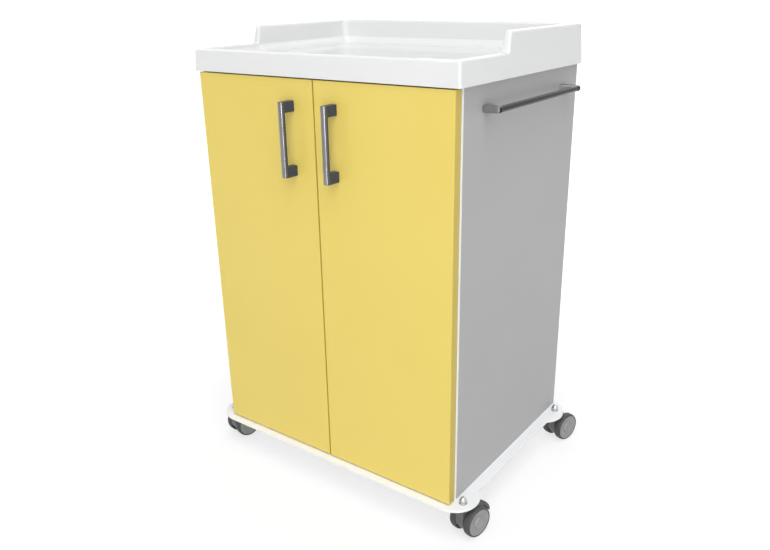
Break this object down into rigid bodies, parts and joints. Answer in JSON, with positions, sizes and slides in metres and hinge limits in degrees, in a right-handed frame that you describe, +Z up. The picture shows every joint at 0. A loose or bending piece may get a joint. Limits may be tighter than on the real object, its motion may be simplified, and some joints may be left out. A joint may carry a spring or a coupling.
{
  "type": "bedside cabinet",
  "caption": "Hospital bedside cabinet with yellow doors, grey sides, a moulded white tray top, bar handles, a side towel rail and a white base plate on swivel casters.",
  "frame": {"origin": "on the floor under the middle of the closed body", "axes": "X to the right seen from the front, towards the towel rail; Y to the back, away from the doors; Z up"},
  "size_m": [0.6776, 0.5164, 0.913],
  "materials": {
    "door_yellow": "satin yellow melamine on board",
    "side_grey": "satin light grey melamine on board",
    "board_white": "satin white melamine on board",
    "dowel_beech": "fluted beech",
    "band_white": "white edge band",
    "tray_white": "glossy white moulded plastic",
    "base_white": "smooth white powder coat on steel",
    "chrome": "bright chrome plate",
    "rail_steel": "polished stainless steel",
    "post_grey": "satin cast alloy",
    "handle_steel": "brushed stainless steel",
    "handle_block": "satin alloy block",
    "hinge_nickel": "bright nickel plate",
    "zinc_steel": "zinc plate",
    "caster_grey": "grey nylon",
    "wheel_grey": "grey nylon disc with a dark soft tread",
    "bumper_clear": "soft translucent pad"
  },
  "bodies": {
    "cabinet": {"base_plate": "base_white", "base_screws": "zinc_steel", "acorn_nuts": "chrome", "nut_washers": "chrome", "caster_studs": "zinc_steel", "bottom_panel": "board_white", "side_panel_left": "side_grey", "side_panel_right": "side_grey", "side_edge_bands": "band_white", "top_panel": "board_white", "top_rail": "board_white", "back_panel": "board_white", "carcass_dowels": "dowel_beech", "lower_shelf": "board_white", "upper_shelf": "board_white", "shelf_pins": "zinc_steel", "tray_top": "tray_white", "tray_screws": "zinc_steel", "towel_rail_bar": "rail_steel", "towel_rail_posts": "post_grey", "towel_rail_screws": "zinc_steel", "hinge_plates": "hinge_nickel", "hinge_arms": "hinge_nickel", "hinge_arm_pins": "zinc_steel", "hinge_screws": "zinc_steel"},
    "hinge_link_left": {"hinge_links_left": "hinge_nickel"},
    "door_left": {"door_left": "door_yellow", "handle_bar_left": "handle_steel", "handle_posts_left": "handle_block", "handle_screws_left": "zinc_steel", "hinge_cups_left": "hinge_nickel", "hinge_cup_pins_left": "zinc_steel", "door_bumpers_left": "bumper_clear"},
    "hinge_guide_left": {"hinge_guide_links_left": "hinge_nickel"},
    "hinge_link_right": {"hinge_links_right": "hinge_nickel"},
    "door_right": {"door_right": "door_yellow", "handle_bar_right": "handle_steel", "handle_posts_right": "handle_block", "handle_screws_right": "zinc_steel", "hinge_cups_right": "hinge_nickel", "hinge_cup_pins_right": "zinc_steel", "door_bumpers_right": "bumper_clear"},
    "hinge_guide_right": {"hinge_guide_links_right": "hinge_nickel"},
    "swivel_front_left": {"caster_housing_front_left": "caster_grey", "caster_axle_front_left": "zinc_steel"},
    "wheel_front_left_left": {"caster_wheel_front_left_left": "wheel_grey"},
    "wheel_front_left_right": {"caster_wheel_front_left_right": "wheel_grey"},
    "swivel_front_right": {"caster_housing_front_right": "caster_grey", "caster_axle_front_right": "zinc_steel"},
    "wheel_front_right_left": {"caster_wheel_front_right_left": "wheel_grey"},
    "wheel_front_right_right": {"caster_wheel_front_right_right": "wheel_grey"},
    "swivel_rear_left": {"caster_housing_rear_left": "caster_grey", "caster_axle_rear_left": "zinc_steel"},
    "wheel_rear_left_left": {"caster_wheel_rear_left_left": "wheel_grey"},
    "wheel_rear_left_right": {"caster_wheel_rear_left_right": "wheel_grey"},
    "swivel_rear_right": {"caster_housing_rear_right": "caster_grey", "caster_axle_rear_right": "zinc_steel"},
    "wheel_rear_right_left": {"caster_wheel_rear_right_left": "wheel_grey"},
    "wheel_rear_right_right": {"caster_wheel_rear_right_right": "wheel_grey"},
    "brake_front_right": {"caster_brake_front_right": "caster_grey"}
  },
  "joints": [
    {"name": "link_turn_left", "type": "hinge", "parent": "cabinet", "child": "hinge_link_left", "pos_m": [-0.2493, -0.1982, 0.455], "axis": [0, 0, -1], "range_deg": [-23.6, 0]},
    {"name": "door_swing_left", "type": "hinge", "parent": "hinge_link_left", "child": "door_left", "pos_m": [-0.2799, -0.2153, 0.455], "axis": [0, 0, -1], "range_deg": [0, 123.5]},
    {"name": "guide_turn_left", "type": "hinge", "parent": "door_left", "child": "hinge_guide_left", "pos_m": [-0.2757, -0.21935, 0.455], "axis": [0, 0, -1], "range_deg": [-116.2, 0]},
    {"name": "link_turn_right", "type": "hinge", "parent": "cabinet", "child": "hinge_link_right", "pos_m": [0.2493, -0.1982, 0.455], "axis": [0, 0, 1], "range_deg": [-23.6, 0]},
    {"name": "door_swing_right", "type": "hinge", "parent": "hinge_link_right", "child": "door_right", "pos_m": [0.2799, -0.2153, 0.455], "axis": [0, 0, 1], "range_deg": [0, 123.5]},
    {"name": "guide_turn_right", "type": "hinge", "parent": "door_right", "child": "hinge_guide_right", "pos_m": [0.2757, -0.21935, 0.455], "axis": [0, 0, 1], "range_deg": [-116.2, 0]},
    {"name": "swivel_turn_front_left", "type": "hinge", "parent": "cabinet", "child": "swivel_front_left", "pos_m": [-0.307, -0.208, 0.052], "axis": [0, 0, 1], "continuous": true},
    {"name": "wheel_spin_front_left_left", "type": "hinge", "parent": "swivel_front_left", "child": "wheel_front_left_left", "pos_m": [-0.30387, -0.18825, 0.031], "axis": [0.9877, -0.1564, 0], "continuous": true},
    {"name": "wheel_spin_front_left_right", "type": "hinge", "parent": "swivel_front_left", "child": "wheel_front_left_right", "pos_m": [-0.30387, -0.18825, 0.031], "axis": [0.9877, -0.1564, 0], "continuous": true},
    {"name": "swivel_turn_front_right", "type": "hinge", "parent": "cabinet", "child": "swivel_front_right", "pos_m": [0.307, -0.208, 0.052], "axis": [0, 0, 1], "continuous": true},
    {"name": "wheel_spin_front_right_left", "type": "hinge", "parent": "swivel_front_right", "child": "wheel_front_right_left", "pos_m": [0.31116, -0.18844, 0.031], "axis": [0.9781, -0.2079, 0], "continuous": true},
    {"name": "wheel_spin_front_right_right", "type": "hinge", "parent": "swivel_front_right", "child": "wheel_front_right_right", "pos_m": [0.31116, -0.18844, 0.031], "axis": [0.9781, -0.2079, 0], "continuous": true},
    {"name": "swivel_turn_rear_left", "type": "hinge", "parent": "cabinet", "child": "swivel_rear_left", "pos_m": [-0.307, 0.2, 0.052], "axis": [0, 0, 1], "continuous": true},
    {"name": "wheel_spin_rear_left_left", "type": "hinge", "parent": "swivel_rear_left", "child": "wheel_rear_left_left", "pos_m": [-0.30284, 0.21956, 0.031], "axis": [0.9781, -0.2079, 0], "continuous": true},
    {"name": "wheel_spin_rear_left_right", "type": "hinge", "parent": "swivel_rear_left", "child": "wheel_rear_left_right", "pos_m": [-0.30284, 0.21956, 0.031], "axis": [0.9781, -0.2079, 0], "continuous": true},
    {"name": "swivel_turn_rear_right", "type": "hinge", "parent": "cabinet", "child": "swivel_rear_right", "pos_m": [0.307, 0.2, 0.052], "axis": [0, 0, 1], "continuous": true},
    {"name": "wheel_spin_rear_right_left", "type": "hinge", "parent": "swivel_rear_right", "child": "wheel_rear_right_left", "pos_m": [0.31218, 0.21932, 0.031], "axis": [0.9659, -0.2588, 0], "continuous": true},
    {"name": "wheel_spin_rear_right_right", "type": "hinge", "parent": "swivel_rear_right", "child": "wheel_rear_right_right", "pos_m": [0.31218, 0.21932, 0.031], "axis": [0.9659, -0.2588, 0], "continuous": true},
    {"name": "brake_lift_front_right", "type": "hinge", "parent": "swivel_front_right", "child": "brake_front_right", "pos_m": [0.31365, -0.1767, 0.048], "axis": [0.9781, -0.2079, 0], "range_deg": [0, 12]}
  ],
  "couplings": [
    {"joint": "link_turn_left", "follows": "door_swing_left", "ratio": -0.19028},
    {"joint": "guide_turn_left", "follows": "door_swing_left", "ratio": -0.94008},
    {"joint": "link_turn_right", "follows": "door_swing_right", "ratio": -0.19028},
    {"joint": "guide_turn_right", "follows": "door_swing_right", "ratio": -0.94008}
  ]
}
